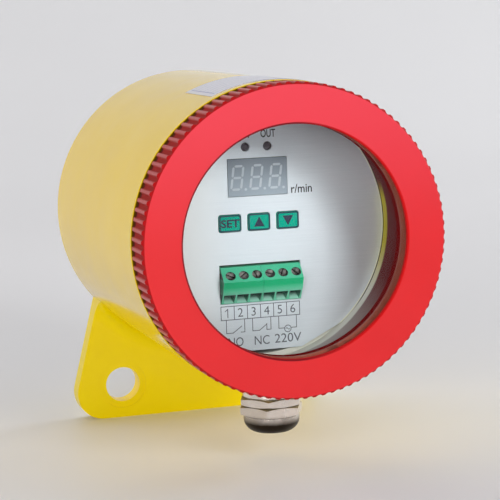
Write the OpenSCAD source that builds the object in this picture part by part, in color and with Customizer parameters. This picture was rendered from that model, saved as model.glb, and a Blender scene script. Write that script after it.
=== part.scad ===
// Speed monitoring switch in a round cast housing.
// X runs to the right seen from the front, the window faces -Y, Z is up.
// The origin lies under the middle of the part, on the bottom edge of the foot plate.
// Depths called d are measured back from the front face of the cover ring.

/* [Body] */
// Outside diameter of the round body (mm)
body_d = 110; // [104:0.5:118]
// Length from the front of the cover ring to the back face (mm)
total_len = 139; // [132:1:160]
// Height of the body axis above the bottom edge of the foot plate (mm)
axis_h = 85; // [80:0.5:92]
// Bore of the neck and of the wiring chamber (mm)
chamber_d = 96.8; // [95:0.1:98]
// Outside diameter of the threaded neck (mm)
neck_d = 102.4; // [101:0.1:103]
// Diameter of the disc that closes the back (mm)
rear_cap_d = 90.4; // [80:0.2:91]

/* [Foot plate] */
// Thickness of the foot plate (mm)
foot_t = 8; // [5:0.5:12]
// Distance between the two fixing holes (mm)
foot_pitch = 65; // [56:0.5:70]
// Diameter of the fixing holes (mm)
foot_hole_d = 14; // [8:0.5:16]
// Radius of the lower corners of the foot plate (mm)
foot_corner_r = 10.7; // [8:0.1:11.5]
// Radius of the fillet between foot plate and body (mm)
foot_fillet_r = 6.5; // [1:0.5:8]

/* [Cover ring] */
// Outside diameter over the grips of the cover ring (mm)
ring_d = 109.6; // [104:0.2:112]
// Length of the cover ring along the body axis (mm)
ring_len = 14.5; // [13.5:0.1:18]
// Diameter of the window opening (mm)
opening_d = 81; // [76:0.5:86]
// Number of grip grooves around the cover ring
grooves = 102; // [60:2:120]
// Radius of one grip groove (mm)
groove_r = 1.3; // [0.8:0.1:1.5]
// Thickness of the window glass (mm)
glass_t = 5; // [4:0.1:5]

/* [Front panel] */
// Depth of the front panel behind the front of the cover ring (mm)
panel_depth = 43.5; // [40:0.5:48]
// Thickness of the front panel (mm)
panel_t = 1.5; // [1:0.1:1.5]
// Distance between neighbouring keys (mm)
key_pitch = 11; // [10:0.1:12]
// Travel gap behind each key (mm)
key_gap = 0.4; // [0.3:0.1:0.6]
// Distance between neighbouring terminals (mm)
pole_pitch = 5; // [5:0.02:5.08]

/* [Cable gland] */
// Size across the flats of the gland hexagons (mm)
gland_af = 21; // [20.5:0.5:21.5]
// Diameter of the gland thread in the housing (mm)
gland_thread_d = 16; // [14:0.5:16]
// Bore of the rubber seal for the cable (mm)
seal_bore_d = 8; // [5:0.1:8.4]

/* [Hidden] */
$fn = 96;

R = body_d / 2;
y0 = -total_len / 2;
rc = chamber_d / 2;        // bore of neck and wiring chamber
rs = rc - 2;               // bore of the rear chamber, its step carries the panel
rn = neck_d / 2;
panel_back = panel_depth + panel_t;
d_shoulder = ring_len + 0.3;
d_neck = ring_len - 4.9;
d_foot = total_len - foot_t;
d_cap = total_len - 10;    // seat of the rear disc
z_gland = -(R - 1.4);      // flat on the underside for the gland
d_gland = 35;
led_x = [-4.35, 4.05];
led_z = 30;
disp_z = 19;
disp_w = 22.4;
disp_h = 13.5;
key_z = 2.6;
key_w = 8.3;
key_h = 6.1;
blk_top = -13.4;
blk_bot = -26.7;
d_pcb = panel_depth + 6.5; // front face of the main board
pcb_t = 1.6;
d_back = d_pcb + pcb_t;    // back face of the main board
lug_r = 40.5;
slot_a = [25, -38, 62, 12, -70, 40];
groove_t = 0.75;           // depth of the grip grooves
screw_dx = 0.4;            // terminal screws sit a little right of the cell middle
e = 0.01;

// children with z along the depth, x to the right and y downward
module along() translate([0, y0, axis_h]) rotate([-90, 0, 0]) children();
// flat outline in x and z, extruded from depth d0 to d1
module face(d0, d1) translate([0, y0 + d1, axis_h]) rotate([90, 0, 0])
  linear_extrude(d1 - d0) children();
// outline in depth and z, extruded across from x0 to x1
module side(x0, x1) translate([x0, y0, axis_h]) rotate([90, 0, 90])
  linear_extrude(x1 - x0) children();
// round bar along the depth
module bar(x, z, r, d0, d1) translate([x, y0 + d0, axis_h + z])
  rotate([-90, 0, 0]) cylinder(r = r, h = d1 - d0);
// upright box
module box(x0, x1, d0, d1, z0, z1) translate([x0, y0 + d0, axis_h + z0])
  cube([x1 - x0, d1 - d0, z1 - z0]);
// children with the gland axis as z, zero at the body axis
module gland_axis() translate([0, y0 + d_gland, axis_h]) children();
module rrect(w, h, r) {
  square([w - 2 * r, h], center = true);
  square([w, h - 2 * r], center = true);
  for (sx = [-1, 1], sz = [-1, 1])
    translate([sx * (w / 2 - r), sz * (h / 2 - r)]) circle(r = r, $fn = 32);
}
function pole_x(i) = (i - 3.5) * pole_pitch;
function screw_x(i) = pole_x(i) + screw_dx;

module foot_outline() {
  cz = -axis_h + foot_corner_r;
  cx = 40.7;
  a = 13.5;
  polygon([[-39.3, -26], [-cx - foot_corner_r * cos(a), cz + foot_corner_r * sin(a)],
    [-cx, -axis_h], [cx, -axis_h],
    [cx + foot_corner_r * cos(a), cz + foot_corner_r * sin(a)], [39.3, -26]]);
  for (s = [-1, 1]) translate([s * cx, cz]) circle(r = foot_corner_r);
}

// round housing with a threaded neck
module housing() color([0.87, 0.72, 0.08]) {
  casting();
  // lugs for the main board
  for (a = [90, 210, 330]) difference() {
    intersection() {
      bar(0, 0, rs + 0.5, d_back, d_back + 8);
      translate([0, 0, axis_h]) rotate([0, -a, 0]) translate([35.5, y0 + d_back, -5]) cube([14, 8, 10]);
    }
    bar(lug_r * cos(a), lug_r * sin(a), 1.55, d_back - 1, d_back + 9);
  }
}

module casting() difference() {
  along() rotate_extrude() polygon([[rc - 4, d_neck], [rn - 0.6, d_neck],
    [rn, d_neck + 0.6], [rn, d_neck + 2.4], [rn - 1.4, d_neck + 2.4],
    [rn - 1.4, d_neck + 4.3], [rn, d_neck + 4.3], [rn, d_shoulder],
    [R - 0.4, d_shoulder], [R, d_shoulder + 0.4], [R, total_len - 0.8],
    [R - 0.8, total_len], [rc - 6, total_len]]);
  along() {
    translate([0, 0, d_neck - 1]) cylinder(r = rc, h = panel_back - d_neck + 1);
    translate([0, 0, panel_back - 1]) cylinder(r = rs, h = d_cap - 3 - panel_back + 1);
    translate([0, 0, d_cap - 4]) cylinder(r = rear_cap_d / 2 - 3.2, h = 5);
    translate([0, 0, d_cap]) cylinder(r = rear_cap_d / 2 + 0.1, h = 11);
  }
  // cable entry
  gland_axis() translate([0, 0, -R - 3]) cylinder(r = gland_thread_d / 2 + 0.05, h = 20);
  gland_axis() translate([0, 0, -R - 3]) cylinder(r = 12.6, h = R + 3 + z_gland);
}

// foot plate welded around the back end of the body, with a smooth fillet
module foot_plate() color([0.87, 0.72, 0.08]) difference() {
  union() {
    face(d_foot, total_len) foot_outline();
    intersection() {
      along() rotate_extrude() difference() {
        translate([R - 1, d_foot - foot_fillet_r]) square([foot_fillet_r + 1, foot_fillet_r + 1]);
        translate([R + foot_fillet_r + 0.06, d_foot - foot_fillet_r]) circle(r = foot_fillet_r, $fn = 64);
      }
      face(d_foot - foot_fillet_r - 1, d_foot + 0.5) foot_outline();
    }
  }
  bar(0, 0, R, d_foot - foot_fillet_r - 2, total_len + 1);
  // fixing holes with shallow spot faces
  for (s = [-1, 1]) {
    bar(s * foot_pitch / 2, -71.5, foot_hole_d / 2, d_foot - 1, total_len + 1);
    bar(s * foot_pitch / 2, -71.5, 9.6, d_foot - 1, d_foot + 0.4);
  }
}

// blank foil label on top of the body
module nameplate() color([0.8, 0.81, 0.83]) along() rotate([0, 0, -115])
  rotate_extrude(angle = 50) translate([R + 0.03, 20]) square([0.2, 33]);

module rear_cap() color([0.08, 0.08, 0.09]) along() rotate_extrude()
  polygon([[0, d_cap], [rear_cap_d / 2, d_cap], [rear_cap_d / 2, total_len - 0.5],
    [rear_cap_d / 2 - 0.5, total_len], [24, total_len], [23.5, total_len - 0.5],
    [22.5, total_len - 0.5], [22, total_len], [0, total_len]]);

module cover_oring() color([0.06, 0.06, 0.06]) along() rotate_extrude()
  translate([rn - 0.72, d_neck + 3.35]) circle(r = 0.68, $fn = 32);

module bezel_ring() color([0.86, 0.08, 0.1]) along() difference() {
  rotate_extrude() polygon([[opening_d / 2 + 0.4, 0], [ring_d / 2 - groove_t - 0.15, 0],
    [ring_d / 2, 1.1], [ring_d / 2, ring_len - 0.6], [ring_d / 2 - 0.6, ring_len],
    [rn + 0.05, ring_len], [rn + 0.05, d_neck - 0.4], [rc - 0.4, d_neck - 0.4],
    [rc - 0.4, 1.8], [opening_d / 2, 1.8], [opening_d / 2, 0.4]]);
  for (i = [0 : grooves - 1]) rotate([0, 0, (i + 0.5) * 360 / grooves])
    translate([ring_d / 2 + groove_r - groove_t, 0, -1]) cylinder(r = groove_r, h = ring_len + 2, $fn = 24);
}

module glass_retainer() color([0.6, 0.05, 0.07]) along() difference() {
  rotate_extrude() translate([40.8, 3.1 + glass_t]) square([rc - 0.45 - 40.8, 3.2]);
  for (a = [45 : 90 : 315]) rotate([0, 0, a]) translate([44.6, 0, 3 + glass_t])
    cylinder(r = 1, h = 5, $fn = 24);
}

module window_glass() color([0.85, 0.9, 0.92, 0.35]) along()
  translate([0, 0, 1.9]) cylinder(r = rc - 0.8, h = glass_t);

module window_gasket() color([0.75, 0.7, 0.6]) along() rotate_extrude()
  translate([40.8, 1.9 + glass_t]) square([rc - 0.9 - 40.8, 1.1]);

module faceplate() color([0.85, 0.87, 0.88]) difference() {
  face(panel_depth, panel_back) intersection() {
    circle(r = rc - 0.2);
    polygon([[-60, 60], [60, 60], [60, -22.6], [15.2, -44.7], [-15.2, -44.7], [-60, -22.6]]);
  }
  box(-disp_w / 2 - 0.2, disp_w / 2 + 0.2, panel_depth - 1, panel_back + 1,
    disp_z - disp_h / 2 - 0.2, disp_z + disp_h / 2 + 0.2);
  for (x = led_x) bar(x, led_z, 1.65, panel_depth - 1, panel_back + 1);
  for (k = [-1 : 1]) translate([k * key_pitch, 0, key_z])
    face(panel_depth - 1, panel_back + 1) rrect(key_w + 0.5, key_h + 0.5, 1);
  box(-15.5, 15.5, panel_depth - 1, panel_back + 1, blk_bot - 0.2, blk_top + 0.9);
}

module main_pcb() color([0.1, 0.35, 0.18]) difference() {
  bar(0, 0, 44, d_pcb, d_back);
  for (a = [90, 210, 330]) bar(lug_r * cos(a), lug_r * sin(a), 1.6, d_pcb - 1, d_back + 1);
}

// screws that hold the main board on the lugs
module pcb_screws() color([0.75, 0.75, 0.76]) for (a = [90, 210, 330]) {
  x = lug_r * cos(a);
  z = lug_r * sin(a);
  bar(x, z, 2.7, d_pcb - 2, d_pcb);
  bar(x, z, 1.5, d_pcb - e, d_back + 7);
}

module display_module() color([0.42, 0.46, 0.48])
  box(-disp_w / 2, disp_w / 2, panel_depth - 0.2, d_pcb, disp_z - disp_h / 2, disp_z + disp_h / 2);

hseg = [[-1.55, 0], [-1.15, 0.42], [1.15, 0.42], [1.55, 0], [1.15, -0.42], [-1.15, -0.42]];
vseg = [[0, -1.9], [0.42, -1.45], [0.42, 1.45], [0, 1.9], [-0.42, 1.45], [-0.42, -1.45]];
function slant(p, x, z) = [p[0] + x + 0.14 * (p[1] + z), p[1] + z];
module digit() {
  for (z = [-4.2, 0, 4.2]) polygon([for (p = hseg) slant(p, 0, z)]);
  for (s = [-1, 1], z = [-2.1, 2.1]) polygon([for (p = vseg) slant(p, s * 1.85, z)]);
}
module display_segments() color([0.62, 0.66, 0.68])
  translate([0, 0, disp_z]) face(panel_depth - 0.3, panel_depth - 0.2) for (k = [-1 : 1])
    translate([k * 7.2 - 0.5, 0]) { digit(); translate([3.05, -4.3]) circle(r = 0.5, $fn = 24); }

module led(x) translate([x, 0, led_z]) along() rotate_extrude($fn = 48) {
  translate([0, panel_depth + 0.8]) intersection() {
    circle(r = 1.5);
    translate([0, -2]) square([2, 2.1]);
  }
  translate([0, panel_depth + 0.8]) square([1.5, d_pcb - panel_depth - 0.8]);
  translate([0, d_pcb - 1.1]) square([1.9, 1.1]);
}
module led_left() color([0.25, 0.26, 0.28]) led(led_x[0]);
module led_right() color([0.25, 0.26, 0.28]) led(led_x[1]);

module key(k) translate([k * key_pitch, 0, key_z]) {
  face(panel_depth - 0.5, panel_back + 0.35) rrect(key_w, key_h, 0.8);
  face(panel_back + 0.3, panel_back + 1.1) rrect(key_w + 1.1, key_h + 1.1, 1.2);
  bar(0, 0, 1.6, panel_back + 1.05, panel_back + 3.3);
}
module key_set() color([0.02, 0.62, 0.5]) key(-1);
module key_up() color([0.02, 0.62, 0.5]) key(0);
module key_down() color([0.02, 0.62, 0.5]) key(1);

module tact(k) translate([k * key_pitch, 0, key_z]) difference() {
  box(-3, 3, panel_back + 1.5 + key_gap, d_pcb, -3, 3);
  bar(0, 0, 1.68, panel_back + 1, panel_back + 3.6 + key_gap);
}
module switch_set() color([0.15, 0.15, 0.16]) tact(-1);
module switch_up() color([0.15, 0.15, 0.16]) tact(0);
module switch_down() color([0.15, 0.15, 0.16]) tact(1);

module terminal_block(first, x0, x1) difference() {
  side(x0, x1) polygon([[d_pcb, blk_top], [panel_depth, blk_top], [39, -18.3],
    [40.4, -22.3], [panel_depth - 0.2, blk_bot], [d_pcb, blk_bot]]);
  for (i = [first : first + 2]) {
    x = pole_x(i);
    xs = screw_x(i);
    box(xs - 2.05, xs + 2.05, 43.9, d_pcb - 0.4, -20, -14.2);
    bar(xs, -16.4, 2.05, 38, 43.2);
    bar(xs, -16.4, 1.35, 43, 44);
    // wire funnel, narrowing backwards to the clamp cage
    intersection() {
      side(x - 2.4, x + 2.4) polygon([[38, -23], [46, -23.6], [46, -24.8],
        [43.3, -26.6], [42.7, -27.2], [38, -27.2]]);
      translate([0, y0, axis_h - 28]) linear_extrude(6) polygon([[x - 2.2, 38], [x + 2.2, 38],
        [x + 2.2, 41.8], [xs + 1.3, 46.1], [xs - 1.3, 46.1], [x - 2.2, 41.8]]);
    }
    side(xs - 1.2, xs + 1.2) polygon([[45.9, -23.6], [46.6, -19.9], [48.5, -19.9],
      [48.5, -23.2], [45.9, -24.7]]);
  }
}
module terminal_block_left() color([0.16, 0.6, 0.4]) terminal_block(1, -3 * pole_pitch - 0.2, -0.05);
module terminal_block_right() color([0.16, 0.6, 0.4]) terminal_block(4, 0.05, 3 * pole_pitch + 0.2);

module terminal_screw(i) {
  x = screw_x(i);
  difference() {
    union() {
      bar(x, -16.4, 1.65, 42.2, 43.1);
      bar(x, -16.4, 1.25, 43.0, 46.4);
    }
    translate([x, y0 + 42.1, axis_h - 16.4]) rotate([0, slot_a[i - 1], 0])
      translate([-2, 0, -0.28]) cube([4, 0.65, 0.56]);
  }
}
module terminal_screw_1() color([0.7, 0.7, 0.68]) terminal_screw(1);
module terminal_screw_2() color([0.7, 0.7, 0.68]) terminal_screw(2);
module terminal_screw_3() color([0.7, 0.7, 0.68]) terminal_screw(3);
module terminal_screw_4() color([0.7, 0.7, 0.68]) terminal_screw(4);
module terminal_screw_5() color([0.7, 0.7, 0.68]) terminal_screw(5);
module terminal_screw_6() color([0.7, 0.7, 0.68]) terminal_screw(6);

module wire_clamp(i) {
  x = screw_x(i);
  difference() {
    box(x - 1.8, x + 1.8, 46.0, 49.4, -19.5, -14.5);
    box(x - 1.25, x + 1.25, 47.1, 48.6, -20, -14);
    bar(x, -16.4, 1.33, 45.5, 47.5);
  }
}
module wire_clamp_1() color([0.8, 0.76, 0.6]) wire_clamp(1);
module wire_clamp_2() color([0.8, 0.76, 0.6]) wire_clamp(2);
module wire_clamp_3() color([0.8, 0.76, 0.6]) wire_clamp(3);
module wire_clamp_4() color([0.8, 0.76, 0.6]) wire_clamp(4);
module wire_clamp_5() color([0.8, 0.76, 0.6]) wire_clamp(5);
module wire_clamp_6() color([0.8, 0.76, 0.6]) wire_clamp(6);

module terminal_pins() color([0.8, 0.8, 0.8]) for (i = [1 : 6])
  bar(pole_x(i), -22, 0.6, d_back, d_back + 1.8);

module transformer_core() color([0.35, 0.36, 0.38]) difference() {
  box(-33, -3, d_back + 2.4, d_back + 18.4, 1.5, 26.5);
  for (s = [-1, 1]) box(-18 + s * 7.5 - 2.5, -18 + s * 7.5 + 2.5, d_back, d_back + 20, 6.5, 21.5);
}
module transformer_winding() color([0.55, 0.32, 0.12]) difference() {
  box(-27.8, -8.2, d_back, d_back + 21, 6.8, 21.2);
  box(-18 - 5.1, -18 + 5.1, d_back + 2.3, d_back + 18.5, 0, 30);
}
module relay() color([0.1, 0.12, 0.2]) box(8, 27, d_back, d_back + 15.3, 8, 23.5);
module filter_capacitors() color([0.15, 0.2, 0.3]) for (x = [-8, 5]) bar(x, -12, 5, d_back, d_back + 12.5);
module varistor() color([0.2, 0.35, 0.6]) translate([-27, y0 + d_back + 5, axis_h - 12])
  rotate([0, 90, 0]) cylinder(r = 5, h = 4, center = true);
module microcontroller() color([0.07, 0.07, 0.08]) box(18, 25, d_back, d_back + 1.4, -14, -7);
module sensor_lead() color([0.1, 0.1, 0.11]) bar(0, -26, 1.8, d_back, d_cap - 21);
module sensor_pcb() color([0.1, 0.35, 0.18]) difference() {
  bar(0, 0, 29, d_cap - 21, d_cap - 19.4);
  for (a = [90, 210, 330]) bar(24 * cos(a), 24 * sin(a), 1.5, d_cap - 22, d_cap - 18);
}
module sensor_standoffs() color([0.8, 0.7, 0.4]) for (a = [90, 210, 330]) {
  bar(24 * cos(a), 24 * sin(a), 2.6, d_cap - 19.4, d_cap);
  bar(24 * cos(a), 24 * sin(a), 1.4, d_cap - 21, d_cap - 19.3);
  bar(24 * cos(a), 24 * sin(a), 2.7, d_cap - 23, d_cap - 21);
}
module sensor_bobbin() color([0.12, 0.12, 0.13]) along() rotate_extrude()
  polygon([[6.3, d_cap - 10], [15.5, d_cap - 10], [15.5, d_cap - 8.6], [8, d_cap - 8.6],
    [8, d_cap - 1.4], [15.5, d_cap - 1.4], [15.5, d_cap], [6.3, d_cap]]);
module sensor_coil() color([0.72, 0.35, 0.12]) along() rotate_extrude()
  translate([8.05, d_cap - 8.5]) square([6.4, 7]);
module sensor_ferrite() color([0.2, 0.2, 0.21]) bar(0, 0, 6.2, d_cap - 11, d_cap);

// gland parts, z measured from the body axis
module hexbar(z0, z1, turn) rotate([0, 0, turn]) intersection() {
  translate([0, 0, z0]) cylinder(r = gland_af / sqrt(3), h = z1 - z0, $fn = 6);
  rotate_extrude() polygon([[0, z0], [gland_af / 2 - 0.2, z0], [gland_af / sqrt(3) + 0.1, z0 + 0.6],
    [gland_af / sqrt(3) + 0.1, z1 - 0.6], [gland_af / 2 - 0.2, z1], [0, z1]]);
}
module gland_washer() color([0.9, 0.9, 0.88]) gland_axis() difference() {
  translate([0, 0, z_gland - 1.2]) cylinder(r = 10.7, h = 1.2);
  translate([0, 0, z_gland - 2]) cylinder(r = gland_thread_d / 2 + 0.1, h = 3);
}
module gland_body() color([0.76, 0.74, 0.68]) gland_axis() difference() {
  union() {
    translate([0, 0, -56]) cylinder(r = gland_thread_d / 2, h = 7.8);
    rotate_extrude() polygon([[0, -60], [9.9, -60], [9.9, -59.8], [10.6, -59.4], [10.6, -55.3],
      [10.1, z_gland - 1.2], [0, z_gland - 1.2]]);
    hexbar(-62.8, -59.9, 8);
    translate([0, 0, -66.6]) cylinder(r = 8.6, h = 5);
  }
  translate([0, 0, -70]) cylinder(r = 5.6, h = 30);
  translate([0, 0, -70]) cylinder(r = 7.6, h = 13);
}
module gland_claw() color([0.88, 0.88, 0.85]) gland_axis() difference() {
  translate([0, 0, -68.4]) cylinder(r = 7.5, h = 11.3);
  translate([0, 0, -71]) cylinder(r = 6.3, h = 16);
  for (a = [0 : 45 : 135]) rotate([0, 0, a]) translate([-10, -0.4, -71]) cube([20, 0.8, 8]);
}
module gland_seal() color([0.07, 0.07, 0.07]) gland_axis() difference() {
  translate([0, 0, -69.6]) cylinder(r = 6.1, h = 12.4);
  translate([0, 0, -73]) cylinder(r = seal_bore_d / 2, h = 18);
}
module gland_nut() color([0.76, 0.74, 0.68]) gland_axis() difference() {
  union() {
    hexbar(-66.5, -62.95, 4.6);
    rotate_extrude() polygon(concat([[0, -72.9]],
      [for (t = [90 : -9 : 0]) [5.3 + 4.9 * cos(t), -68 - 4.9 * sin(t)]], [[10.2, -66], [0, -66]]));
  }
  translate([0, 0, -67.2]) cylinder(r = 8.75, h = 8);
  translate([0, 0, -69.9]) cylinder(r = 7.8, h = 8);
  translate([0, 0, -80]) cylinder(r = 4.8, h = 12);
}

housing();
foot_plate();
nameplate();
rear_cap();
cover_oring();
bezel_ring();
glass_retainer();
window_glass();
window_gasket();
faceplate();
main_pcb();
pcb_screws();
display_module();
display_segments();
led_left();
led_right();
key_set();
key_up();
key_down();
switch_set();
switch_up();
switch_down();
terminal_block_left();
terminal_block_right();
terminal_screw_1();
terminal_screw_2();
terminal_screw_3();
terminal_screw_4();
terminal_screw_5();
terminal_screw_6();
wire_clamp_1();
wire_clamp_2();
wire_clamp_3();
wire_clamp_4();
wire_clamp_5();
wire_clamp_6();
terminal_pins();
transformer_core();
transformer_winding();
relay();
filter_capacitors();
varistor();
microcontroller();
sensor_lead();
sensor_pcb();
sensor_standoffs();
sensor_bobbin();
sensor_coil();
sensor_ferrite();
gland_washer();
gland_body();
gland_claw();
gland_seal();
gland_nut();
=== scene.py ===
import bpy, bmesh, math
from mathutils import Matrix, Vector


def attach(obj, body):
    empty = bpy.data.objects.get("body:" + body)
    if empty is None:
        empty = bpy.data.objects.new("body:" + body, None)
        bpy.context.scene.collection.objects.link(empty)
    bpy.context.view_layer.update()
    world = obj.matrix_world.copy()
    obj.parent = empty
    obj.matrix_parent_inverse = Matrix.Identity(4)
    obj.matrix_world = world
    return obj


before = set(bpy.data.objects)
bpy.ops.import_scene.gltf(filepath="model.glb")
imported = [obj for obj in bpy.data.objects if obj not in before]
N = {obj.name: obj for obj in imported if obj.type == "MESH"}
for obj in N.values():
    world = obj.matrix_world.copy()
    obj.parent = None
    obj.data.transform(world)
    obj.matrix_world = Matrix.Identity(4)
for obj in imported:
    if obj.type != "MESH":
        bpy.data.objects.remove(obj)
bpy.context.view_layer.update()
scene = bpy.context.scene
MM = 0.001
Y0, ZC = -69.5, 85.0          # depth 0 and the body axis, in mm in the row frame


def P(x, d, z):
    """Point from x, depth behind the front of the cover ring, and height over the body axis, in mm."""
    return Vector((x, Y0 + d, ZC + z)) * MM


# ---------------------------------------------------------------- node helper
class Tree:
    """Short hand for a material's node tree."""

    def __init__(self, name):
        self.mat = bpy.data.materials.new(name)
        self.mat.use_nodes = True
        self.nt = self.mat.node_tree
        self.bsdf = next(n for n in self.nt.nodes if n.type == "BSDF_PRINCIPLED")
        self.out = next(n for n in self.nt.nodes if n.type == "OUTPUT_MATERIAL")

    def put(self, socket, value):
        if hasattr(value, "is_output") or isinstance(value, bpy.types.NodeSocket):
            self.nt.links.new(value, socket)
        else:
            socket.default_value = value

    def node(self, kind, inputs=(), **props):
        n = self.nt.nodes.new(kind)
        for k, v in props.items():
            setattr(n, k, v)
        for k, v in dict(inputs).items():
            self.put(n.inputs[k], v)
        return n

    def set(self, **kw):
        names = {"base": "Base Color", "rough": "Roughness", "metal": "Metallic", "coat": "Coat Weight",
                 "coat_rough": "Coat Roughness", "coat_ior": "Coat IOR", "spec": "Specular IOR Level", "normal": "Normal",
                 "ior": "IOR", "coat_normal": "Coat Normal", "aniso": "Anisotropic", "alpha": "Alpha",
                 "trans": "Transmission Weight", "sss": "Subsurface Weight", "sss_scale": "Subsurface Scale",
                 "sheen": "Sheen Weight"}
        for k, v in kw.items():
            self.put(self.bsdf.inputs[names[k]], v)
        return self

    def coord(self):
        return self.node("ShaderNodeTexCoord").outputs["Object"]

    def sep(self, v):
        s = self.node("ShaderNodeSeparateXYZ", {0: v})
        return s.outputs[0], s.outputs[1], s.outputs[2]

    def math(self, op, a, b=0.0, c=0.0, clamp=False):
        n = self.node("ShaderNodeMath", {0: a, 1: b, 2: c}, operation=op)
        n.use_clamp = clamp
        return n.outputs[0]

    def mapv(self, v, scale=(1, 1, 1), loc=(0, 0, 0), rot=(0, 0, 0)):
        return self.node("ShaderNodeMapping", {"Vector": v, "Scale": scale, "Location": loc, "Rotation": rot}).outputs[0]

    def noise(self, v, scale, detail=3.0, rough=0.5, distortion=0.0):
        return self.node("ShaderNodeTexNoise", {"Vector": v, "Scale": scale, "Detail": detail, "Roughness": rough,
                                                "Distortion": distortion}).outputs["Fac"]

    def voronoi(self, v, scale, feature="F1"):
        return self.node("ShaderNodeTexVoronoi", {"Vector": v, "Scale": scale}, feature=feature).outputs["Distance"]

    def ramp(self, fac, stops, interpolation="LINEAR"):
        n = self.node("ShaderNodeValToRGB", {0: fac})
        n.color_ramp.interpolation = interpolation
        el = n.color_ramp.elements
        while len(el) > 1:
            el.remove(el[-1])
        el[0].position, el[0].color = stops[0][0], tuple(stops[0][1]) + (1,) * (4 - len(stops[0][1]))
        for pos, col in stops[1:]:
            e = el.new(pos)
            e.color = tuple(col) + (1,) * (4 - len(col))
        return n.outputs[0]

    def range(self, v, a, b, c=0.0, d=1.0, smooth=False):
        n = self.node("ShaderNodeMapRange", {"Value": v, "From Min": a, "From Max": b, "To Min": c, "To Max": d})
        if smooth:
            n.interpolation_type = "SMOOTHSTEP"
        return n.outputs[0]

    def mix(self, fac, a, b, blend="MIX"):
        n = self.node("ShaderNodeMix", data_type="RGBA", blend_type=blend)
        self.put(n.inputs[0], fac)
        self.put(n.inputs[6], a if not isinstance(a, (tuple, list)) else tuple(a) + (1,) * (4 - len(a)))
        self.put(n.inputs[7], b if not isinstance(b, (tuple, list)) else tuple(b) + (1,) * (4 - len(b)))
        return n.outputs[2]

    def bump(self, height, dist, strength=1.0, normal=None):
        n = self.node("ShaderNodeBump", {"Height": height, "Distance": dist, "Strength": strength})
        if normal is not None:
            self.put(n.inputs["Normal"], normal)
        return n.outputs[0]

    def edges(self, low, high):
        """0 inside, 1 on sharp convex edges, from the surface's pointiness."""
        return self.range(self.node("ShaderNodeNewGeometry").outputs["Pointiness"], low, high)


def rgb(r, g, b):
    """sRGB 0..255 to linear."""
    return tuple(((c / 255) / 12.92 if c / 255 <= 0.04045 else ((c / 255 + 0.055) / 1.055) ** 2.4) for c in (r, g, b)) + (1.0,)


def assign(mat, *objs):
    for o in objs:
        o = N[o] if isinstance(o, str) else o
        o.data.materials.clear()
        o.data.materials.append(mat)


# ---------------------------------------------------------------- materials
def paint(name, base, dark, light, spec=0.06, coat=1.0, coat_rough=0.12):
    """Gloss powder coat: fine orange peel, faint shade variation, coat on top."""
    t = Tree(name)
    c = t.coord()
    peel = t.noise(c, 900.0, 2.0, 0.5)
    fine = t.noise(c, 2600.0, 1.0, 0.5)
    big = t.noise(c, 28.0, 3.0, 0.55)
    col = t.mix(t.range(big, 0.35, 0.68), dark, light)
    col = t.mix(0.5, col, base)
    rough = t.range(t.noise(c, 60.0, 4.0, 0.6), 0.3, 0.7, 0.36, 0.44)
    h = t.math("ADD", peel, t.math("MULTIPLY", fine, 0.25))
    nrm = t.bump(h, 0.00003, 0.25)
    t.set(base=col, rough=rough, normal=nrm, coat_normal=nrm, spec=spec, coat=coat, coat_rough=coat_rough, coat_ior=1.32)
    return t, col, rough, nrm


def radial(t):
    """Distance from the body axis and depth behind the ring's front, in metres."""
    x, y, z = t.sep(t.coord())
    dz = t.math("SUBTRACT", z, ZC * MM)
    r = t.math("SQRT", t.math("ADD", t.math("MULTIPLY", x, x), t.math("MULTIPLY", dz, dz)))
    d = t.math("SUBTRACT", y, Y0 * MM)
    return x, dz, r, d


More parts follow.
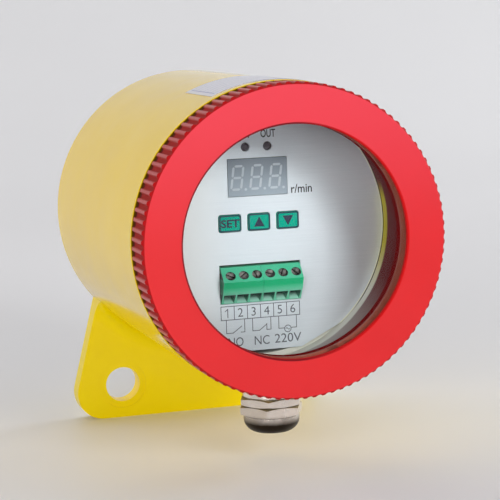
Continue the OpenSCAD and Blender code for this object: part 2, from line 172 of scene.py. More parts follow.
def yellow_material(name, g, coat):
    t, col, rough, nrm = paint(name, rgb(243, g, 0), rgb(239, g - 5, 0), rgb(247, g + 5, 0))
    x, dz, r, d = radial(t)
    # inside of the neck and of the wiring chamber: thin overspray on the machined casting
    inside = t.math("MULTIPLY", t.range(r, 0.0492, 0.0486), t.range(d, 0.127, 0.120))
    fade = t.range(t.math("ADD", d, t.math("MULTIPLY", t.noise(t.coord(), 90.0, 2.0), 0.0012)), 0.0390, 0.0408, smooth=True)
    c = t.coord()
    # painted reflection and painted shade: the bare metal is painted dark red, for the red ring it mirrors in the shade
    bare_painted_light_and_shade = t.mix(t.noise(t.mapv(c, (40, 900, 40)), 1.0, 3.0), rgb(92, 18, 22), rgb(114, 32, 36))
    ang = t.math("ARCTAN2", dz, x)
    # painted light: towards the bottom the wall is painted pale grey, where the light falls on it
    lit_bottom = t.range(ang, -0.12, -0.62, smooth=True)
    lit_bottom = t.math("MULTIPLY", lit_bottom, t.range(ang, -2.6, -2.0, smooth=True))
    grey = t.math("MULTIPLY", t.range(ang, -0.35, -1.15, smooth=True), t.range(ang, -2.6, -2.0, smooth=True))
    bare_painted_light_and_shade = t.mix(t.math("MULTIPLY", grey, 0.75), bare_painted_light_and_shade, rgb(196, 192, 188))
    spray = t.mix(t.noise(c, 120.0), rgb(188, 172, 8), rgb(204, 186, 20))
    # painted shade: towards the top the overspray gives way to the dark red bare metal, where the wall is in shadow
    fade = t.math("MULTIPLY", fade, t.range(ang, 0.34, 0.14, smooth=True))
    inner = t.mix(fade, bare_painted_light_and_shade, t.mix(lit_bottom, spray, rgb(226, 224, 214)))
    # painted shadow in the narrow gap between the faceplate and the wall
    panel_gap_shadow = t.math("MULTIPLY", t.range(d, 0.0428, 0.0433), t.range(d, 0.0442, 0.0440))
    panel_gap_shadow = t.math("MULTIPLY", panel_gap_shadow, t.range(ang, -0.75, -0.6))
    inner = t.mix(panel_gap_shadow, inner, rgb(44, 36, 12))
    # machined neck under the ring: bare metal with a thread
    neck = t.math("MULTIPLY", t.range(d, 0.0149, 0.0147), t.range(r, 0.0522, 0.0518))
    metal = t.mix(t.noise(t.mapv(c, (60, 500, 60)), 1.0, 3.0), rgb(168, 166, 162), rgb(196, 194, 190))
    # the shoulder under the ring stays in its shadow
    shoulder = t.math("MULTIPLY", t.range(d, 0.01525, 0.01505), t.range(r, 0.0549, 0.0546))
    base = t.mix(t.math("MULTIPLY", shoulder, 0.92), col, rgb(70, 22, 2))
    base = t.mix(inside, base, inner)
    base = t.mix(neck, base, metal)
    bare_all = t.math("MAXIMUM", t.math("MULTIPLY", inside, t.math("SUBTRACT", 1.0, fade)), neck)
    t.set(base=base, rough=t.mix(neck, t.mix(bare_all, rough, (0.7, 0.7, 0.7)), (0.4, 0.4, 0.4)),
          metal=t.math("MULTIPLY", neck, 0.3),
          coat=t.math("MULTIPLY", t.math("SUBTRACT", 1.0, t.math("MAXIMUM", t.math("MAXIMUM", inside, shoulder), neck), clamp=True), coat))
    # thread on the neck as a bump: pitch 1.5 mm, turned into a helix by the angle
    ph = t.math("ADD", t.math("MULTIPLY", d, 2 * math.pi / 0.0015), ang)
    thread = t.math("MULTIPLY", t.math("MULTIPLY", t.math("SINE", ph), neck), t.range(r, 0.0505, 0.0511))
    t.set(normal=t.bump(thread, 0.0003, 1.0, nrm))
    return t.mat


def red_material():
    t, col, rough, nrm = paint("red_paint", rgb(207, 7, 16), rgb(200, 3, 11), rgb(214, 11, 21), spec=0.25, coat_rough=0.28)
    x, dz, r, d = radial(t)
    # painted highlight: a little paler on the side that faces up, where the light from above falls
    col = t.mix(t.range(dz, -0.012, 0.056, 0.0, 0.85, smooth=True), col, rgb(222, 50, 68))
    # painted shade: the chamfer and the grips are painted darker than the face, most of all down in the grooves
    edge = t.range(r, 0.05388, 0.05396)
    valley_shade = t.math("MULTIPLY", edge, t.range(r, 0.0547, 0.0543))
    base = t.mix(edge, col, rgb(182, 26, 26))
    base = t.mix(valley_shade, base, rgb(156, 34, 30))
    # painted shadow: the rear ends of the grooves, next to the body, are painted nearly black
    rear = t.math("MULTIPLY", valley_shade, t.range(d, 0.0118, 0.0130))
    base = t.mix(t.math("MULTIPLY", rear, 0.9), base, rgb(72, 3, 0))
    chamfer = t.math("MULTIPLY", edge, t.range(d, 0.00125, 0.0011))
    lip = t.math("MULTIPLY", t.range(r, 0.04098, 0.04088), t.range(d, 0.0019, 0.0018))
    base = t.mix(chamfer, base, rgb(172, 5, 10))
    base = t.mix(lip, base, rgb(200, 4, 8))
    # painted shade: the opening's front edge is painted dark red on its left side
    arris_shade = t.math("MULTIPLY", t.range(r, 0.04116, 0.04106), t.range(d, 0.00045, 0.00035))
    base = t.mix(arris_shade, base, t.mix(t.range(x, 0.0, 0.02), rgb(120, 5, 16), rgb(202, 8, 12)))
    dull = t.math("MAXIMUM", t.math("MULTIPLY", edge, 0.45), t.math("MAXIMUM", valley_shade, chamfer))
    dull = t.math("MAXIMUM", dull, t.math("MAXIMUM", t.math("MAXIMUM", rear, arris_shade), lip))
    # machined thread inside
    bore = t.math("MULTIPLY", t.math("MULTIPLY", t.range(r, 0.0514, 0.0513), t.range(r, 0.0500, 0.0503)), t.range(d, 0.0088, 0.0092))
    c = t.coord()
    base = t.mix(bore, base, rgb(150, 150, 150))
    ang = t.math("ARCTAN2", dz, x)
    ph = t.math("ADD", t.math("MULTIPLY", d, 2 * math.pi / 0.0015), ang)
    # the grooves are left rough by the cutter
    t.set(base=base, normal=t.bump(t.math("MULTIPLY", t.math("SINE", ph), bore), 0.0003, 1.0, nrm),
          rough=t.mix(t.math("MAXIMUM", t.math("MAXIMUM", valley_shade, chamfer), lip), rough, (0.95, 0.95, 0.95)), metal=t.math("MULTIPLY", bore, 0.8),
          coat=t.math("MULTIPLY", t.math("SUBTRACT", 1.0, t.math("MAXIMUM", bore, dull), clamp=True), 0.9))
    return t.mat


def plastic(name, a, b, rough=0.4, scale=220.0, bump=0.00004, coat=0.0, spec=0.5, sss=0.0):
    t = Tree(name)
    c = t.coord()
    col = t.mix(t.range(t.noise(c, scale, 4.0, 0.6), 0.3, 0.7), a, b)
    rg = t.range(t.noise(c, scale * 1.7, 3.0, 0.6), 0.3, 0.7, rough - 0.06, rough + 0.08)
    nrm = t.bump(t.noise(c, scale * 9, 2.0, 0.6), bump, 0.5)
    t.set(base=col, rough=rg, normal=nrm, coat=coat, spec=spec)
    if sss:
        t.set(sss=sss, sss_scale=0.001)
    return t.mat


def metal(name, a, b, rough=0.25, scale=(300, 300, 300), bump=0.00002, metallic=1.0, coat=0.0):
    t = Tree(name)
    c = t.mapv(t.coord(), scale)
    col = t.mix(t.range(t.noise(c, 1.0, 4.0, 0.6), 0.3, 0.7), a, b)
    rg = t.range(t.noise(c, 1.6, 4.0, 0.65), 0.3, 0.7, max(0.02, rough - 0.06), rough + 0.08)
    nrm = t.bump(t.noise(c, 3.1, 3.0, 0.6), bump, 0.5)
    t.set(base=col, rough=rg, metal=metallic, normal=nrm, coat=coat)
    return t.mat


def panel_material():
    """Silvered and fine brushed sheet with a clear lacquer."""
    t = Tree("panel_silver")
    c = t.coord()
    grain = t.noise(t.mapv(c, (60, 60, 3200)), 1.0, 4.0, 0.65)
    fine = t.noise(t.mapv(c, (180, 180, 9000)), 1.0, 3.0, 0.6)
    col = t.mix(t.range(grain, 0.3, 0.7), rgb(234, 241, 249), rgb(241, 247, 255))
    x, dz, r, d = radial(t)
    # painted highlight along the sheet's cut edge
    rim_highlight = t.math("MULTIPLY", t.range(r, 0.04775, 0.04785), t.range(d, 0.0440, 0.0437))
    # painted light: the sheet is painted whiter, and made less metallic, towards the left
    col = t.mix(t.range(x, -0.010, -0.030), col, rgb(255, 255, 255))
    col = t.mix(rim_highlight, col, rgb(255, 255, 240))
    rough = t.range(fine, 0.3, 0.7, 0.36, 0.47)
    t.set(base=col, rough=rough, metal=t.math("SUBTRACT", t.range(x, -0.018, -0.036, 0.42, 0.12), t.math("MULTIPLY", rim_highlight, 0.42), clamp=True), normal=t.bump(t.math("ADD", grain, fine), 0.00001, 0.3), coat=0.2, coat_rough=0.22)
    return t.mat


def glass_material():
    t = Tree("clear_glass")
    clear = t.node("ShaderNodeBsdfTransparent", {"Color": (0.97, 0.985, 0.98, 1)})
    gloss = t.node("ShaderNodeBsdfGlossy", {"Color": (1, 1, 1, 1), "Roughness": 0.015})
    fres = t.node("ShaderNodeFresnel", {"IOR": 1.5})
    # bloomed window: it mirrors only a little
    m = t.node("ShaderNodeMixShader", {0: t.math("MULTIPLY", fres.outputs[0], 0.22), 1: clear.outputs[0], 2: gloss.outputs[0]})
    t.nt.nodes.remove(t.bsdf)
    t.nt.links.new(m.outputs[0], t.out.inputs[0])
    return t.mat


def label_material():
    """Satin foil with ruled lines and no words."""
    t = Tree("label_foil")
    x, dz, r, d = radial(t)
    arc = t.math("MULTIPLY", t.math("ARCTAN2", x, dz), 0.0552)      # along the label, from its middle
    dy = t.math("SUBTRACT", d, 0.0365)                              # across the label
    c = t.coord()
    col = t.mix(t.noise(t.mapv(c, (3000, 60, 60)), 1.0, 3.0), rgb(216, 216, 224), rgb(228, 228, 236))
    ax, ay = t.math("ABSOLUTE", arc), t.math("ABSOLUTE", dy)
    frame_x = t.math("MULTIPLY", t.range(t.math("ABSOLUTE", t.math("SUBTRACT", ax, 0.0221)), 0.00028, 0.0002), t.math("LESS_THAN", ay, 0.0142))
    frame_y = t.math("MULTIPLY", t.range(t.math("ABSOLUTE", t.math("SUBTRACT", ay, 0.0141)), 0.00028, 0.0002), t.math("LESS_THAN", ax, 0.0222))
    rows = t.math("ABSOLUTE", t.math("SUBTRACT", t.math("PINGPONG", t.math("ADD", dy, 0.0141), 0.00235), 0.0))
    rule = t.math("MULTIPLY", t.math("MULTIPLY", t.range(rows, 0.00026, 0.00018), t.math("LESS_THAN", ax, 0.0221)), t.math("LESS_THAN", ay, 0.0141))
    ink = t.math("MAXIMUM", t.math("MAXIMUM", frame_x, frame_y), t.math("MULTIPLY", rule, 0.8))
    cut = t.math("GREATER_THAN", ay, 0.01648)                       # the sheet's cut edges
    ink = t.math("MAXIMUM", ink, t.math("MULTIPLY", cut, 0.7))
    t.set(base=t.mix(ink, col, rgb(146, 152, 182)), rough=0.36, metal=t.math("SUBTRACT", 0.45, t.math("MULTIPLY", ink, 0.45), clamp=True))
    return t.mat


def display_material():
    """Smoked face over the digits, a little darker towards the top where the ring shades it."""
    t = Tree("display_face")
    x, dz, r, d = radial(t)
    col = t.mix(t.range(dz, 0.0125, 0.0258), rgb(176, 190, 204), rgb(144, 156, 171))
    col = t.mix(t.math("MULTIPLY", t.noise(t.coord(), 200.0), 0.2), col, rgb(150, 160, 172))
    t.set(base=col, rough=0.2, coat=0.35, spec=0.4)
    return t.mat


def screw_material():
    """Steel screws, painted dark as shade towards the upper and lower edge of the terminals' screw heads."""
    t = Tree("screw_steel")
    c = t.coord()
    x, dz, r, d = radial(t)
    col = t.mix(t.range(t.noise(t.mapv(c, (900, 900, 900)), 1.0, 4.0, 0.6), 0.3, 0.7), rgb(58, 50, 50), rgb(176, 168, 164))
    off = t.math("ABSOLUTE", t.math("ADD", dz, 0.0164))
    hole_edge_shade = t.math("MULTIPLY", t.range(off, 0.00095, 0.00135, smooth=True), t.range(off, 0.0024, 0.0022))
    # painted shade: the slots and the sides of the heads are painted dark
    under = t.math("MULTIPLY", t.range(d, 0.04226, 0.0424), t.range(off, 0.0024, 0.0022))
    col = t.mix(t.math("MULTIPLY", under, 0.9), col, rgb(22, 18, 18))
    t.set(base=t.mix(t.math("MULTIPLY", hole_edge_shade, 0.85), col, rgb(34, 28, 28)), rough=t.math("ADD", 0.3, t.math("MULTIPLY", hole_edge_shade, 0.3)),
          metal=1.0, normal=t.bump(t.noise(c, 2800.0, 3.0, 0.6), 0.00002, 0.5))
    return t.mat


def green_material():
    """Moulded terminals: translucent green, with painted light on the lip and painted shade down in the screw holes."""
    t = Tree("terminal_green")
    c = t.coord()
    x, dz, r, d = radial(t)
    # painted light and shade: the slanting top face and the lip are painted lighter than the face between them
    low = t.mix(t.range(dz, -0.0203, -0.0229), rgb(12, 194, 130), rgb(128, 226, 190))
    col = t.mix(t.range(dz, -0.0185, -0.0181), low, rgb(88, 214, 170))
    col = t.mix(t.math("MULTIPLY", t.range(t.noise(c, 260.0, 4.0, 0.6), 0.3, 0.7), 0.3), col, rgb(40, 210, 150))
    # how far from the nearest screw axis, and how far under the slanting face
    ux = t.math("SUBTRACT", t.math("FLOORED_MODULO", t.math("SUBTRACT", x, 0.0004), 0.005), 0.0025)
    uz = t.math("ADD", dz, 0.0164)
    dist = t.math("SQRT", t.math("ADD", t.math("MULTIPLY", ux, ux), t.math("MULTIPLY", uz, uz)))
    face = t.math("SUBTRACT", 0.0435, t.math("MULTIPLY", t.math("SUBTRACT", -0.0134, dz), 0.9184))
    # painted shade down in the screw holes
    hole_shade = t.math("MULTIPLY", t.range(dist, 0.00216, 0.00211), t.range(t.math("SUBTRACT", d, face), 0.00002, 0.0003))
    # except for its lower wall, which catches the light
    hole_shade = t.math("MULTIPLY", hole_shade, t.range(uz, -0.00185, -0.0014))
    # the left end of each block is shaded
    side = t.math("LESS_THAN", t.sep(t.node("ShaderNodeNewGeometry").outputs["Normal"])[0], -0.8)
    col = t.mix(t.math("MULTIPLY", side, 0.6), col, rgb(0, 110, 84))
    # wire entries: painted shade under their roofs, painted light on the sloping floors
    lower = t.math("SUBTRACT", 0.0404, t.math("MULTIPLY", t.math("ADD", dz, 0.0223), 0.6))
    entry = t.math("MULTIPLY", t.range(t.math("SUBTRACT", d, lower), 0.0002, 0.0007), t.range(dz, -0.0228, -0.0232))
    up = t.sep(t.node("ShaderNodeNewGeometry").outputs["Normal"])[2]
    col = t.mix(t.math("MULTIPLY", entry, t.range(up, 0.2, 0.6)), col, rgb(176, 240, 218))
    col = t.mix(t.math("MULTIPLY", t.math("MULTIPLY", entry, t.range(dz, -0.0262, -0.0244)), 0.85), col, rgb(4, 62, 50))
    t.set(base=t.mix(hole_shade, col, rgb(16, 34, 30)), rough=t.range(t.noise(c, 440.0, 3.0, 0.6), 0.3, 0.7, 0.3, 0.42),
          normal=t.bump(t.noise(c, 2300.0, 2.0, 0.6), 0.00005, 0.5), spec=0.3)
    return t.mat


M = {
    "yellow": yellow_material("yellow_paint", 207, 1.0), "yellow_foot": yellow_material("yellow_paint_foot", 218, 0.5),
    # painted shade: the retainer's red is darker than the ring's and matt, for the shade it sits in
    "retainer": paint("retainer_paint", rgb(126, 2, 4), rgb(118, 1, 3), rgb(134, 3, 6), spec=0.0, coat=0.0)[0].set(rough=0.9).mat, "red": red_material(), "panel": panel_material(), "glass": glass_material(),
    "label": label_material(),
    "rubber": plastic("seal_rubber", rgb(24, 24, 24), rgb(34, 34, 33), 0.6, 300, 0.00005),
    "silicone": plastic("silicone", rgb(156, 80, 64), rgb(170, 90, 72), 0.5, 160, 0.00006, spec=0.1),
    "black": plastic("black_plastic", rgb(26, 26, 27), rgb(34, 34, 35), 0.45, 260, 0.00005),
    "gloss_black": plastic("relay_case", rgb(30, 32, 44), rgb(38, 40, 52), 0.28, 200, 0.00002),
    "display": display_material(),
    "segment": plastic("segment_grey", rgb(206, 216, 226), rgb(214, 223, 232), 0.5, 400, 0.00001),
    "led": plastic("led_lens", rgb(108, 100, 110), rgb(116, 108, 118), 0.25, 300, 0.00001, coat=0.1, spec=0.2),
    "key": plastic("key_teal", rgb(0, 178, 151), rgb(0, 188, 159), 0.55, 300, 0.00003, spec=0.0),
    "key_dark": plastic("key_dark", rgb(8, 70, 84), rgb(14, 78, 92), 0.45, 300, 0.00001, spec=0.3),
    "ink": plastic("panel_ink", rgb(78, 84, 98), rgb(90, 96, 108), 0.55, 400, 0.000005),
    "ink_dark": plastic("key_ink", rgb(36, 44, 74), rgb(46, 52, 80), 0.5, 400, 0.000005, spec=0.3),
    "ink_black": plastic("legend_ink", rgb(26, 28, 34), rgb(36, 38, 44), 0.5, 400, 0.000005, spec=0.2),
    "green": green_material(),
    "screw": screw_material(),
    "clamp": metal("clamp_metal", rgb(196, 190, 170), rgb(214, 208, 190), 0.3, (500, 500, 500)),
    "brass": metal("brass", rgb(200, 164, 96), rgb(214, 180, 110), 0.28, (400, 400, 400)),
    "core": metal("core_steel", rgb(84, 86, 92), rgb(104, 106, 112), 0.45, (50, 2400, 50)),
    "copper": metal("copper", rgb(170, 92, 44), rgb(198, 116, 62), 0.35, (100, 3000, 100)),
    "board": plastic("board_green", rgb(16, 86, 48), rgb(22, 100, 56), 0.3, 200, 0.00003, coat=0.4),
    "cap": plastic("capacitor_sleeve", rgb(28, 40, 70), rgb(34, 48, 82), 0.3, 200, 0.00001),
    "varistor": plastic("varistor_blue", rgb(40, 92, 160), rgb(48, 104, 174), 0.35, 240, 0.00004),
    "lead": plastic("lead_black", rgb(28, 28, 30), rgb(38, 38, 40), 0.5, 240, 0.00004),
    "ferrite": plastic("ferrite", rgb(52, 52, 54), rgb(66, 66, 68), 0.6, 700, 0.00006),
    "nylon": plastic("nylon_white", rgb(222, 222, 214), rgb(232, 232, 226), 0.42, 240, 0.00004, sss=0.05),
}


def nickel_material():
    t = Tree("nickel")
    c = t.coord()
    turned = t.noise(t.mapv(c, (120, 120, 5200)), 1.0, 3.0, 0.6)
    blot = t.noise(c, 240.0, 4.0, 0.6)
    col = t.mix(t.range(blot, 0.3, 0.7), rgb(228, 218, 208), rgb(244, 236, 228))
    x, dz, r, d = radial(t)
    # the nut is a little duller than the body
    col = t.mix(t.range(dz, -0.0628, -0.0631, 0.0, 0.3), col, rgb(192, 178, 160))
    # painted reflection of shade: darker towards the lower end of the dome, standing in for the shadow beneath it that
    # it mirrors
    low = t.range(t.math("ADD", dz, t.math("MULTIPLY", t.noise(c, 300.0), 0.0008)), -0.0652, -0.0689)
    col = t.mix(low, col, rgb(36, 27, 16))
    # painted shade on the slanting ends of the hexagons
    nx, ny, nz = t.sep(t.node("ShaderNodeNewGeometry").outputs["Normal"])
    hex_end_shade = t.math("MULTIPLY", t.range(t.math("ABSOLUTE", nz), 0.2, 0.35), t.range(dz, -0.0668, -0.0665))
    col = t.mix(hex_end_shade, col, rgb(158, 146, 118))
    # painted shade: a dark line where the nut's dome leaves its hexagon
    crease_shade = t.math("MULTIPLY", t.range(dz, -0.06682, -0.06672), t.range(dz, -0.06648, -0.06652))
    col = t.mix(t.math("MULTIPLY", crease_shade, 0.6), col, rgb(60, 50, 40))
    rough = t.math("ADD", t.range(blot, 0.3, 0.7, 0.13, 0.22), t.math("MULTIPLY", t.math("MAXIMUM", low, hex_end_shade), 0.25))
    t.set(base=col, rough=rough, metal=t.math("SUBTRACT", t.range(x, 0.0, 0.006, 0.82, 0.55), t.math("MULTIPLY", hex_end_shade, 0.4)), normal=t.bump(turned, 0.00002, 0.35))
    return t.mat


M["nickel"] = nickel_material()

assign(M["yellow"], "housing")
assign(M["yellow_foot"], "foot_plate")
assign(M["red"], "bezel_ring")
assign(M["retainer"], "glass_retainer")
assign(M["label"], "nameplate")
assign(M["glass"], "window_glass")
assign(M["silicone"], "window_gasket")
assign(M["panel"], "faceplate")
assign(M["rubber"], "cover_oring", "gland_seal")
assign(M["black"], "rear_cap", "switch_set", "switch_up", "switch_down", "sensor_bobbin", "microcontroller")
assign(M["display"], "display_module")
assign(M["segment"], "display_segments")
assign(M["led"], "led_left", "led_right")
assign(M["key"], "key_set", "key_up", "key_down")
assign(M["green"], "terminal_block_left", "terminal_block_right")
for i in range(1, 7):
    assign(M["screw"], f"terminal_screw_{i}")
    assign(M["clamp"], f"wire_clamp_{i}")
assign(M["screw"], "pcb_screws")
assign(M["clamp"], "terminal_pins")
assign(M["board"], "main_pcb", "sensor_pcb")
assign(M["core"], "transformer_core")
assign(M["copper"], "transformer_winding", "sensor_coil")
assign(M["gloss_black"], "relay")
assign(M["cap"], "filter_capacitors")
assign(M["varistor"], "varistor")
assign(M["lead"], "sensor_lead")
assign(M["brass"], "sensor_standoffs")
assign(M["ferrite"], "sensor_ferrite")
assign(M["nickel"], "gland_body", "gland_nut")
assign(M["nylon"], "gland_washer", "gland_claw")


# ---------------------------------------------------------------- thin print and small pieces
def mesh_piece(name, verts, faces, mat, body):
    me = bpy.data.meshes.new(name)
    me.from_pydata([tuple(v) for v in verts], [], faces)
    me.update()
    o = bpy.data.objects.new(name, me)
    scene.collection.objects.link(o)
    o.data.materials.append(mat)
    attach(o, body)
    return o


def prints(name, polys, depth, mat, body, thick=0.03):
    """Flat ink: polygons in x and z (mm) on the plane at that depth, a little proud of it."""
    verts, faces = [], []
    for poly in polys:
        k, n = len(verts), len(poly)
        verts += [P(x, depth - thick, z) for x, z in poly] + [P(x, depth + 0.005, z) for x, z in poly]
        area = sum(poly[i][0] * poly[(i + 1) % n][1] - poly[(i + 1) % n][0] * poly[i][1] for i in range(n))
        order = list(range(n)) if area > 0 else list(range(n))[::-1]
        faces.append([k + i for i in order])
        faces.append([k + n + i for i in order[::-1]])
        for a in range(n):
            i, j = order[a], order[(a + 1) % n]
            faces.append([k + j, k + i, k + n + i, k + n + j])
    return mesh_piece(name, verts, faces, mat, body)


def line(x0, z0, x1, z1, w):
    """A stroke of width w."""
    dx, dz = x1 - x0, z1 - z0
    n = math.hypot(dx, dz)
    ux, uz = dx / n * w / 2, dz / n * w / 2
    return [(x0 - ux + uz, z0 - uz - ux), (x1 + ux + uz, z1 + uz - ux), (x1 + ux - uz, z1 + uz + ux), (x0 - ux - uz, z0 - uz + ux)]


def ring(cx, cz, r, w, n=28):
    out = []
    for i in range(n):
        a, b = 2 * math.pi * i / n, 2 * math.pi * (i + 1) / n
        out.append([(cx + (r - w / 2) * math.cos(a), cz + (r - w / 2) * math.sin(a)), (cx + (r + w / 2) * math.cos(a), cz + (r + w / 2) * math.sin(a)),
                    (cx + (r + w / 2) * math.cos(b), cz + (r + w / 2) * math.sin(b)), (cx + (r - w / 2) * math.cos(b), cz + (r - w / 2) * math.sin(b))])
    return out


def text_piece(name, words, x, depth, z, height, mat, body, width=None, thick=0.03, bold=0.0):
    cu = bpy.data.curves.new(name, "FONT")
    cu.body = words
    cu.size = height * MM / 0.7
    cu.align_x, cu.align_y = "CENTER", "CENTER"
    cu.extrude = thick * MM / 2
    cu.offset = bold * MM
    cu.resolution_u = 4
    o = bpy.data.objects.new(name + "_curve", cu)
    scene.collection.objects.link(o)
    bpy.context.view_layer.update()
    me = bpy.data.meshes.new_from_object(o)
    bpy.data.objects.remove(o)
    me.name = name
    xs = [v.co.x for v in me.vertices]
    ys = [v.co.y for v in me.vertices]
    sx = width * MM / (max(xs) - min(xs)) if width else 1.0
    sy = height * MM / (max(ys) - min(ys))
    cx, cy = (max(xs) + min(xs)) / 2, (max(ys) + min(ys)) / 2
    me.transform(Matrix.Translation(P(x, depth - thick / 2, z)) @ Matrix.Rotation(math.radians(90), 4, "X")
                 @ Matrix.Diagonal((sx, sy, 1, 1)) @ Matrix.Translation((-cx, -cy, 0)))
    # join the letters' faces and sides into closed solids
    bm = bmesh.new()
    bm.from_mesh(me)
    bmesh.ops.remove_doubles(bm, verts=bm.verts, dist=1e-7)
    bmesh.ops.recalc_face_normals(bm, faces=bm.faces)
    bm.to_mesh(me)
    bm.free()
    t = bpy.data.objects.new(name, me)
    scene.collection.objects.link(t)
    me.materials.clear()
    me.materials.append(mat)
    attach(t, body)
    return t


PD = 43.5
W = 0.26
BX0, BX1 = -15.4, 14.75
strokes = [line(BX0, -27.7, BX1, -27.7, W), line(BX0, -32.7, BX1, -32.7, W)]
strokes += [line(BX0 + (BX1 - BX0) * k / 6, -27.7, BX0 + (BX1 - BX0) * k / 6, -32.7, W) for k in range(7)]
# open contact
strokes += [line(-13.5, -32.7, -13.5, -37.6, W), line(-13.5, -37.6, -10.95, -37.6, W), line(-10.95, -37.6, -7.75, -35.3, W),
            line(-8.0, -37.5, -6.55, -37.5, W), line(-6.55, -37.5, -6.55, -32.7, W)]
# closed contact
strokes += [line(-3.5, -32.7, -3.5, -37.4, W), line(-3.5, -37.4, -0.9, -37.4, W), line(-0.9, -37.4, 1.9, -35.3, W),
            line(1.9, -35.1, 1.9, -37.3, W), line(1.9, -37.3, 3.5, -37.3, W), line(3.5, -37.3, 3.5, -32.7, W)]
# alternating supply
strokes += [line(6.55, -32.7, 6.55, -37.3, W), line(6.55, -37.3, 8.75, -37.3, W), line(11.25, -37.3, 13.4, -37.3, W), line(13.4, -37.3, 13.4, -32.7, W)]
strokes += ring(10.0, -37.6, 1.25, W)
wave = [(10.0 - 0.75 + 1.5 * k / 8, -37.6 + 0.3 * math.sin(2 * math.pi * k / 8)) for k in range(9)]
strokes += [line(*wave[k], *wave[k + 1], 0.2) for k in range(8)]
prints("panel_lines", strokes, PD, M["ink"], "body")
# the figure 1 with its flag, the others from the type
prints("number_1", [line(-12.85, -28.7, -12.85, -31.8, 0.3), line(-13.75, -29.45, -12.95, -28.75, 0.27)], PD, M["ink"], "body")
for k in range(1, 6):
    text_piece(f"number_{k + 1}", str(k + 1), -13.05 + 5.03 * k, PD, -30.2, 3.2, M["ink"], "body", bold=-0.015)
text_piece("text_no", "NO", -10.05, PD, -41.0, 3.3, M["ink"], "body", width=5.7, bold=-0.01)
text_piece("text_nc", "NC", -0.05, PD, -41.05, 3.3, M["ink"], "body", width=5.7, bold=-0.01)
text_piece("text_supply", "220V", 10.0, PD, -40.95, 3.3, M["ink"], "body", width=10.25, bold=-0.01)
text_piece("text_unit", "r/min", 16.7, PD, 13.9, 3.2, M["ink_black"], "body", width=8.0, bold=0.04)
text_piece("text_out", "OUT", 4.4, PD, 34.6, 2.9, M["ink_black"], "body", width=5.6, bold=0.05)
text_piece("text_run", "RUN", -5.2, PD, 34.6, 2.9, M["ink_black"], "body", width=4.8, bold=0.05)


def rounded(w, h, r, n=6):
    pts = []
    for cx, cz, a0 in ((w / 2 - r, h / 2 - r, 0), (-w / 2 + r, h / 2 - r, 90), (-w / 2 + r, -h / 2 + r, 180), (w / 2 - r, -h / 2 + r, 270)):
        for i in range(n + 1):
            a = math.radians(a0 + 90 * i / n)
            pts.append((cx + r * math.cos(a), cz + r * math.sin(a)))
    return pts


KZ = 2.6
for key, kx in (("key_set", -11.0), ("key_up", 0.0), ("key_down", 11.0)):
    a, b = rounded(8.28, 6.08, 0.8), rounded(7.1, 4.95, 0.45)
    quads = []
    for i in range(len(a)):
        j = (i + 1) % len(a)
        quads.append([(a[i][0] + kx, a[i][1] + KZ), (a[j][0] + kx, a[j][1] + KZ), (b[j][0] + kx, b[j][1] + KZ), (b[i][0] + kx, b[i][1] + KZ)])
    prints(key + "_border", quads, 43.0, M["key_dark"], key, 0.04)
text_piece("legend_set", "SET", -11.0, 43.0, KZ, 3.0, M["ink_dark"], "key_set", width=7.0, bold=0.12)


def collars(name):
    """Rims round the six screw holes: thin plates on the slanting face, with a round opening square to it."""
    tilt = math.atan(0.9184)
    ct = math.cos(tilt)

    def face(z):
        return 43.5 - (-13.4 - z) * 0.9184 - 0.16

    verts, faces, n = [], [], 40
    for k in range(6):
        cx = -12.5 + 5.0 * k + 0.4
        start = len(verts)
        for i in range(n):
            a = 2 * math.pi * i / n
            ox, oz = cx + 2.24 * math.cos(a), -16.4 + 2.24 * math.sin(a)
            ix, iz = cx + 1.86 * math.cos(a), -16.2 + 1.86 * ct * math.sin(a)
            verts += [P(ox, face(oz), oz), P(ix, face(iz), iz), P(ix, face(iz) + 0.07, iz), P(ox, face(oz) + 0.18, oz)]
        for i in range(n):
            a, b = start + 4 * i, start + 4 * ((i + 1) % n)
            for q in range(4):
                r = (q + 1) % 4
                faces.append((b + q, b + r, a + r, a + q))
    return mesh_piece(name, verts, faces, M["green"], "body")


collars("terminal_rims")
prints("legend_up", [[(-2.05, KZ - 1.7), (2.05, KZ - 1.7), (0, KZ + 1.95)]], 43.0, M["ink_dark"], "key_up", 0.04)
prints("legend_down", [[(8.95, KZ + 1.7), (11.0, KZ - 1.95), (13.05, KZ + 1.7)]], 43.0, M["ink_dark"], "key_down", 0.04)


# ---------------------------------------------------------------- stage, light, camera
def stage_material():
    t = Tree("studio_floor")
    c = t.coord()
    col = t.mix(t.range(t.noise(c, 3.0, 2.0), 0.3, 0.7), rgb(220, 220, 222), rgb(222, 222, 224))
    t.set(base=col, rough=0.5, spec=0.25)
    return t.mat


def make_stage():
    """Pale floor that sweeps up into a wall behind the part."""
    prof = [(-9.0, 0.0), (-1.0, 0.0), (0.8, 0.0)]
    R = 0.9
    for k in range(1, 13):
        a = math.radians(90 * k / 12)
        prof.append((0.8 + R * math.sin(a), R * (1 - math.cos(a))))
    prof.append((0.8 + R, 3.0))
    verts, faces = [], []
    for y, z in prof:
        verts += [(-9.0, y, z), (9.0, y, z)]
    for k in range(len(prof) - 1):
        faces.append((2 * k, 2 * k + 1, 2 * k + 3, 2 * k + 2))
    me = bpy.data.meshes.new("studio_sweep")
    me.from_pydata(verts, [], faces)
    for p in me.polygons:
        p.use_smooth = True
    o = bpy.data.objects.new("studio_sweep", me)
    scene.collection.objects.link(o)
    me.materials.append(stage_material())
    return o


make_stage()

world = bpy.data.worlds.new("studio_world")
scene.world = world
world.use_nodes = True
bg = world.node_tree.nodes["Background"]
bg.inputs[0].default_value = (0.93, 0.965, 1.0, 1)
bg.inputs[1].default_value = 0.175


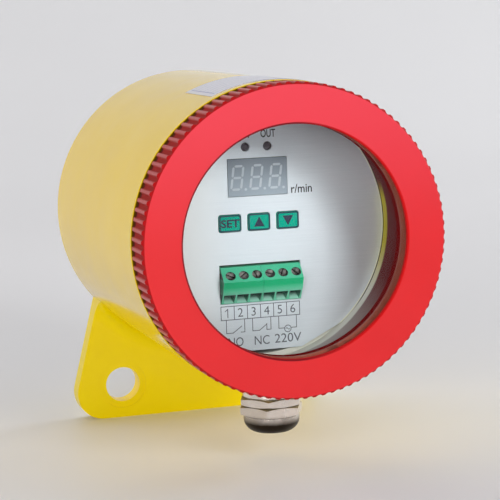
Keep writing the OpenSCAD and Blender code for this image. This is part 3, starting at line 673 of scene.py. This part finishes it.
def area(name, loc, target, size, energy, color=(1, 1, 1), size_y=None):
    li = bpy.data.lights.new(name, "AREA")
    li.shape = "RECTANGLE"
    li.size, li.size_y = size, size_y or size
    li.energy = energy
    li.color = color
    o = bpy.data.objects.new(name, li)
    scene.collection.objects.link(o)
    loc, target = Vector(loc), Vector(target)
    o.location = loc
    o.rotation_euler = (target - loc).to_track_quat("-Z", "Y").to_euler()
    return o


def around(azimuth, elevation, dist):
    """Place on a sphere around the part; azimuth 0 is straight in front, positive to the right."""
    a, e = math.radians(azimuth), math.radians(elevation)
    return Vector((math.sin(a) * math.cos(e), -math.cos(a) * math.cos(e), math.sin(e))) * dist + Vector((0, 0, 0.085))


MID = (0, 0, 0.085)
area("front_left", around(-40, 10, 1.8), MID, 0.7, 10.5, (1, 0.965, 0.945), 0.6)
area("front_mid", around(-24, 16, 1.8), MID, 0.6, 4.1)
area("front_right", around(12, 20, 1.8), MID, 0.5, 14.2)
area("right_light", around(75, 15, 1.8), MID, 1.0, 7.7)
area("right_back", around(110, 15, 1.8), MID, 0.9, 16.5)
area("top_back", (0, 0.9, 1.4), (0, 0.2, 0.085), 1.2, 5.5, (1, 1, 1), 0.8)
area("left_back", around(-125, 25, 1.6), MID, 0.9, 6.0, (1, 0.91, 0.86))

AZ, EL, ROLL, DIST, F, TX, TZ = -17.22, 7.72, -1.72, 622.89, 1840.04, -17.15, -1.37


def make_camera():
    a, e, r = math.radians(AZ), math.radians(EL), math.radians(ROLL)
    back = Vector((math.sin(a) * math.cos(e), -math.cos(a) * math.cos(e), math.sin(e)))
    right = (-back).cross(Vector((0, 0, 1))).normalized()
    up = right.cross(-back)
    right, up = right * math.cos(r) + up * math.sin(r), -right * math.sin(r) + up * math.cos(r)
    loc = P(TX, 0, TZ) + back * DIST * MM
    m = Matrix((right, up, back)).transposed().to_4x4()
    m.translation = loc
    cam = bpy.data.cameras.new("camera")
    cam.sensor_fit = "HORIZONTAL"
    cam.sensor_width = 36.0
    cam.lens = F / 500 * 36.0
    cam.clip_start, cam.clip_end = 0.01, 20
    o = bpy.data.objects.new("camera", cam)
    scene.collection.objects.link(o)
    o.matrix_world = m
    scene.camera = o


make_camera()
scene.view_settings.view_transform = "Standard"
scene.view_settings.look = "None"
